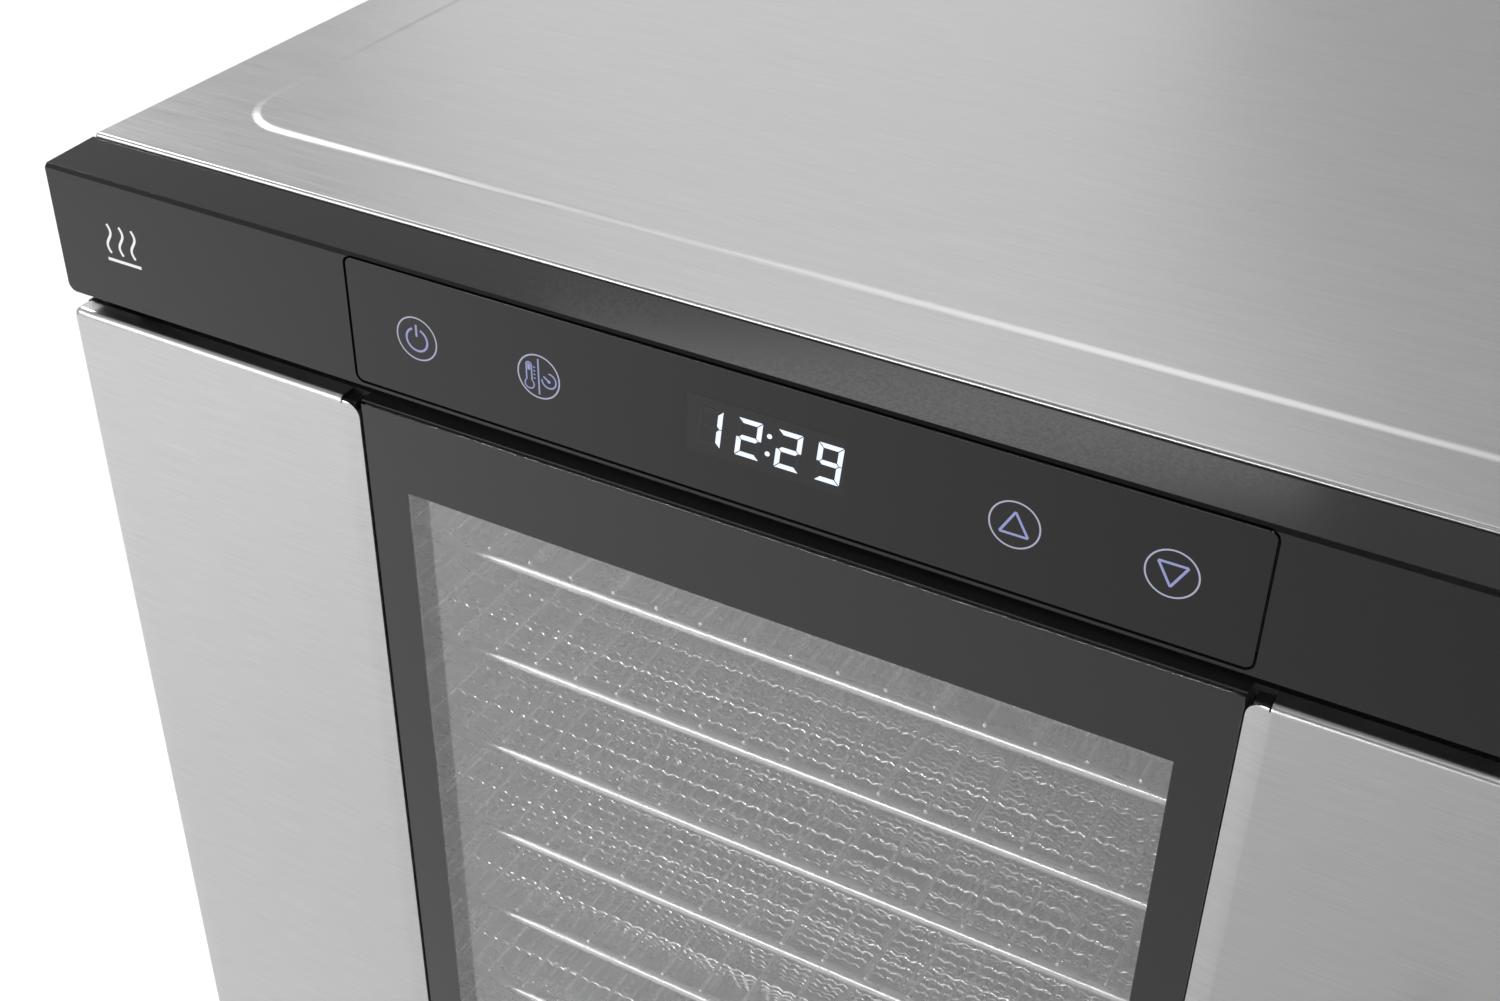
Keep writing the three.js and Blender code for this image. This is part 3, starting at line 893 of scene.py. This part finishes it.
def makeHandle(settings):
    low, high = inMm("handle_bar")
    middle = (low + high) / 2
    radius = (high.x - low.x) / 2
    bar = addRod("handle_bar_grip", (middle.x, middle.y, low.z), (middle.x, middle.y, high.z), radius, 64)
    softenEdges(bar, settings["endRound"], 5)
    finishPiece(bar, steelUpright, "door", ["handle_bar"])
    for level in ("top", "bottom"):
        node = "handle_post_" + level
        low, high = inMm(node)
        middle = (low + high) / 2
        radius = (high.x - low.x) / 2
        foot = (middle.x, high.y, middle.z)
        post = addRod(node + "_turned", (middle.x, low.y, middle.z), foot, radius, 48)
        seat = addRod("seat", (middle.x, high.y - settings["seatDepth"], middle.z), foot,
                      radius + settings["seatWider"], 48)
        softenEdges(seat, settings["seatEdge"], 3)
        post = joinPieces([post, seat])
        finishPiece(post, steelUpright, "door", [node])


makeHandle(handleSet)

screwSet = {"recessDepth": 1.2, "armHalf": 0.5, "armShare": 0.55, "edge": 0.3}


def makeScrew(node, body, settings):
    # a pan head that faces the back, with a cross recess
    low, high = inMm(node)
    middle = (low + high) / 2
    radius = (high.x - low.x) / 2
    crown = high.y
    head = addRod(node + "_head", (middle.x, low.y, middle.z), (middle.x, crown, middle.z), radius, 40)
    bites = []
    long, short = radius * settings["armShare"], settings["armHalf"]
    for halfX, halfZ in ((long, short), (short, long)):
        bites.append(addBlock("bite", (middle.x - halfX, crown - settings["recessDepth"], middle.z - halfZ),
                              (middle.x + halfX, crown + 1.0, middle.z + halfZ)))
    cutWith(head, bites)
    softenEdges(head, settings["edge"], 2, 40)
    finishPiece(head, steelUpright, body, [node])


pinSet = {"radius": 2.5, "edge": 0.5}


def makeHingePin(node, settings):
    low, high = inMm(node)
    middle = (low + high) / 2
    pin = addRod(node + "_turned", (middle.x, middle.y, low.z), (middle.x, middle.y, high.z),
                 settings["radius"], 40)
    softenEdges(pin, settings["edge"], 3)
    finishPiece(pin, steelUpright, "door", [node])


for level in ("top", "bottom"):
    makeScrew("handle_screw_" + level, "door", screwSet)
for level in ("top", "bottom"):
    makeHingePin("hinge_pin_" + level, pinSet)
print("door made")


# the wire trays

traySet = {"rod": 2.25, "corner": 8.0, "straight": 0.7, "pitch": 13.3, "straightCount": 29,
           "frontReach": 1.4, "backReach": 1.0, "weld": 0.3, "endEdge": 0.3,
           "crimped": 0.52, "crimpPitch": 13.0, "crimpCount": 28, "wave": 4.43, "stepsPerWave": 5,
           "swing": 0.55, "crimpWeld": 0.25, "endGap": 0.5}


def makeTray(settings):
    low, high = inMm("tray_01")
    height = (low.z + high.z) / 2
    rod = settings["rod"]
    start = at(low.x + rod, low.y + rod, height)
    end = at(high.x - rod, high.y - rod, height)
    loop = addRoundedPlane("loop", start, end, settings["corner"], 8)
    bpy.ops.mesh.delete(type="ONLY_FACE")
    leaveEdit()
    loop = thickenEdges(loop, rod, 3)
    # straight wires lie on the loop from front to back
    lift = height + rod + settings["straight"] - settings["weld"]
    count = settings["straightCount"]
    first = -settings["pitch"] * (count - 1) / 2
    straight = addRod("straight", (first, low.y + settings["frontReach"], lift),
                      (first, high.y - settings["backReach"], lift), settings["straight"], 8)
    softenEdges(straight, settings["endEdge"], 1)
    repeatAlong(straight, count, (settings["pitch"] * mm, 0, 0))
    # crimped wires hang under the straight ones from side to side
    reach = high.x - rod - settings["endGap"]
    steps = round(2 * reach / settings["wave"] * settings["stepsPerWave"])
    crimped = addRow("crimped", steps)
    sag = lift - settings["straight"] - settings["crimped"] - settings["swing"] + settings["crimpWeld"]
    for vertex in crimped.data.vertices:
        x = vertex.co.x * 2 * reach
        swing = settings["swing"] * math.sin(2 * math.pi * x / settings["wave"])
        vertex.co = at(x, low.y + rod + settings["crimpPitch"], sag + swing)
    crimped = thickenEdges(crimped, settings["crimped"], 1)
    repeatAlong(crimped, settings["crimpCount"], (0, settings["crimpPitch"] * mm, 0))
    return joinPieces([loop, straight, crimped])


firstTray = makeTray(traySet)
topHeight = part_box("tray_01")[0].z
for number in range(10, 0, -1):
    node = f"tray_{number:02d}"
    drop = (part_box(node)[0].z - topHeight) / mm
    tray = firstTray if number == 1 else copyPiece(firstTray, node + "_wires", (0, 0, drop))
    tray.name = node + "_wires"
    finishPiece(tray, wireChrome, f"tray_body_{number:02d}", [node], 60)
refineNode("crumb_tray", 0.5, chamberSheet, "crumb_tray_body")
print("trays made")


# the chamber, fan and electronics

for node in ("liner_shell", "rail_left", "rail_right", "fan_baffle"):
    refineNode(node, 0.2, chamberSheet, "cabinet", 1)
for node in ("fan_housing", "motor_bracket", "base_pan"):
    refineNode(node, 0.25, zincSheet, "cabinet", 1)
refineNode("fan_wheel", 0.2, zincSheet, "fan", 1)
refineNode("fan_motor", 1.2, paintBlack, "cabinet", 3)
# the hinge brackets show in the gap under the bezel; their near black is painted shade standing in for the
# shadow there
for node in ("hinge_bracket_top", "hinge_bracket_bottom"):
    refineNode(node, 0.3, bracketPaintedShade, "cabinet")
plainNodes = {"display_module": bezelPlastic, "control_board": boardGreen, "power_board": boardGreen,
              "temperature_probe": sheathDark, "thermal_cutout": ceramicBuff,
              "terminal_block": ceramicBuff, "fan_shaft": steelUpright}
for node, material in plainNodes.items():
    dressNode(node, material)


def makeHeater():
    low, high = inMm("heater_element")
    middle = (low + high) / 2
    minor = (high.y - low.y) / 2
    major = (high.x - low.x) / 2 - minor
    selectNone()
    bpy.ops.mesh.primitive_torus_add(location=at(*middle), rotation=(math.radians(90), 0, 0),
                                     major_segments=96, minor_segments=16,
                                     major_radius=major * mm, minor_radius=minor * mm)
    ring = keepPlace("heater_ring")
    finishPiece(ring, sheathDark, "cabinet", ["heater_element"])


makeHeater()


# the back, the feet and the gland

rearSet = {"ventStarts": (-120, 60), "slotLength": 60, "slotHeights": (173.5, 178.5), "slotEnd": 2.45,
           "slotCount": 7, "slotPitch": 15, "cordHole": (-120, 60), "cordRadius": 7, "edge": 0.2}


def makeRearPanel(settings):
    low, high = inMm("rear_panel")
    panel = addBlock("rear_panel_sheet", low, high)
    before, behind = low.y - 3, high.y + 3
    foot, top = settings["slotHeights"]
    cutters = []
    for x in settings["ventStarts"]:
        slot = addBlock("slot", (x, before, foot), (x + settings["slotLength"], behind, top))
        roundEdgesAlong(slot, 1, settings["slotEnd"], 6)
        repeatAlong(slot, settings["slotCount"], (0, 0, settings["slotPitch"] * mm))
        cutters.append(slot)
    x, z = settings["cordHole"]
    cutters.append(addRod("hole", (x, before, z), (x, behind, z), settings["cordRadius"], 48))
    cutWith(panel, cutters)
    softenEdges(panel, settings["edge"], 2, 40)
    finishPiece(panel, zincSheet, "cabinet", ["rear_panel"])


makeRearPanel(rearSet)
for level in ("top", "bottom"):
    for side in ("left", "right"):
        makeScrew(f"rear_screw_{level}_{side}", "cabinet", screwSet)

footSet = {"tread": 12, "seat": 14, "edge": 1.4}


def makeFoot(node, settings):
    low, high = inMm(node)
    middle = (low + high) / 2
    foot = addRod(node + "_moulded", (middle.x, middle.y, low.z), (middle.x, middle.y, high.z),
                  settings["tread"], 48, settings["seat"])
    softenEdges(foot, settings["edge"], 4)
    finishPiece(foot, rubberBlack, "cabinet", [node])


for end in ("front", "rear"):
    for side in ("left", "right"):
        makeFoot(f"foot_{end}_{side}", footSet)

# depths are measured in from the dome's outer face
glandSet = {"stem": 6.6, "stemDepth": 7.0, "nut": 10.0, "nutDepths": (8.2, 4.6), "nutEdge": 0.7,
            "dome": 8.4, "domeTip": 6.2, "domeDepth": 4.9, "domeEdge": 1.2, "bore": 4.0}


def makeGland(settings):
    low, high = inMm("cord_gland")
    middle = (low + high) / 2

    def along(y):
        return middle.x, y, middle.z
    back = high.y
    inner, outer = settings["nutDepths"]
    stem = addRod("gland", along(low.y), along(back - settings["stemDepth"]), settings["stem"], 48)
    nut = addRod("nut", along(back - inner), along(back - outer), settings["nut"], 6)
    softenEdges(nut, settings["nutEdge"], 2)
    dome = addRod("dome", along(back - settings["domeDepth"]), along(back), settings["dome"], 48,
                  settings["domeTip"])
    softenEdges(dome, settings["domeEdge"], 4)
    for part in (stem, nut, dome):
        cutWith(part, [addRod("bore", along(low.y - 5), along(back + 5), settings["bore"], 40)])
    gland = joinPieces([stem, nut, dome])
    gland.name = "cord_gland_moulded"
    finishPiece(gland, framePlastic, "cabinet", ["cord_gland"])


makeGland(glandSet)
print("back made")


# floor, light and camera

studioSet = {
    "floor": 30.0, "ambient": 0.5, "frontDark": 0.06, "paleWay": (-0.6, 0.8, 0.0), "fade": (-0.25, 0.1),
    "boxes": {  # place, aim, width and height of each soft box in m, then its glow
        "key": ((-1.15, -1.2, 0.8), (0.0, -0.1, 0.35), 0.9, 0.6, 3.0),
        "fill": ((-0.75, -2.5, 0.45), (0.0, 0.0, 0.25), 1.4, 0.32, 10.0),
        "overhead": ((-0.5, 0.45, 2.3), (-0.1, 0.1, 0.4), 1.3, 1.0, 1.25),
        "backLeft": ((-0.85, 1.45, 1.0), (0.0, 0.0, 0.45), 1.0, 0.8, 0.45),
        "patch": ((-0.52, 1.06, 1.5), (0.03, -0.2, 0.47), 0.85, 0.15, 1.55),
        "floorLeft": ((-0.95, -0.95, 0.7), (-0.95, -0.95, 0.0), 0.9, 0.9, 0.6)},
    "softSize": 0.3,
    "spots": {  # place and aim in m, power in W and width of the beam in degrees
        "backFloor": ((-2.5, 0.8, 2.3), (-1.05, 0.35, 0.0), 250, 60),
        "window": ((0.54, -1.24, 1.6), (-0.03, -0.12, 0.22), 100, 18)}}


def facing(place, aim):
    # the turn of a lamp at one place that shines on another
    return (Vector(aim) - Vector(place)).to_track_quat("-Z", "Y").to_euler()


def makeStudio(settings):
    selectNone()
    bpy.ops.mesh.primitive_plane_add(size=settings["floor"], location=(0, 0, 0))
    floor = bpy.context.object
    floor.name = "studio_floor"
    floor.data.materials.append(startMaterial("paleStudioFloor", "#F4F4F4", 0.6)[0])
    # an even grey tent that is darker over the front right
    world = bpy.data.worlds.new("studioTent")
    bpy.context.scene.world = world
    world.use_nodes = True
    tree = world.node_tree
    way = addNode(tree, "ShaderNodeTexCoord", {})
    lean = addNode(tree, "ShaderNodeVectorMath", {"operation": "DOT_PRODUCT"})
    lean.inputs[1].default_value = settings["paleWay"]
    tree.links.new(way.outputs["Generated"], lean.inputs[0])
    dark, pale = settings["fade"]
    level = addNode(tree, "ShaderNodeMapRange", {
        "interpolation_type": "SMOOTHSTEP", "From Min": dark, "From Max": pale,
        "To Min": settings["frontDark"], "To Max": settings["ambient"]}, [("Value", lean.outputs["Value"])])
    tree.links.new(level.outputs["Result"], tree.nodes["Background"].inputs["Color"])
    for name, (place, aim, width, height, glow) in settings["boxes"].items():
        bpy.ops.object.light_add(type="AREA", location=place)
        lamp = bpy.context.object
        lamp.name = name
        lamp.data.shape = "RECTANGLE"
        lamp.data.size = width
        lamp.data.size_y = height
        lamp.data.energy = glow * math.pi * width * height
        lamp.rotation_euler = facing(place, aim)
    for name, (place, aim, power, beamDeg) in settings["spots"].items():
        bpy.ops.object.light_add(type="SPOT", location=place)
        spot = bpy.context.object
        spot.name = name
        spot.data.energy = power
        spot.data.spot_size = math.radians(beamDeg)
        spot.data.spot_blend = 1.0
        spot.data.shadow_soft_size = settings["softSize"]
        spot.rotation_euler = facing(place, aim)
    bpy.context.scene.view_settings.view_transform = "Standard"


makeStudio(studioSet)

cameraSet = {"lens": 46.6, "azimuthDeg": 28.28, "elevationDeg": 34.62, "rollDeg": -0.99,
             "place": (171.7, -323.9, 686.2), "nearest": 10.0}


def makeCamera(settings):
    azimuth, elevation, roll = (math.radians(settings[key])
                                for key in ("azimuthDeg", "elevationDeg", "rollDeg"))
    ahead = Vector((-math.sin(azimuth) * math.cos(elevation), math.cos(azimuth) * math.cos(elevation),
                    -math.sin(elevation)))
    right = Vector((math.cos(azimuth), math.sin(azimuth), 0))
    down = ahead.cross(right)
    tilted = math.cos(roll) * right + math.sin(roll) * down
    up = tilted.cross(ahead)
    turn = Matrix((tilted, up, -ahead)).transposed().to_4x4()
    bpy.ops.object.camera_add()
    camera = bpy.context.object
    camera.matrix_world = Matrix.Translation(at(*settings["place"])) @ turn
    camera.data.lens = settings["lens"]
    camera.data.clip_start = settings["nearest"] * mm
    bpy.context.scene.camera = camera


makeCamera(cameraSet)
print("studio made")

bpy.context.view_layer.update()
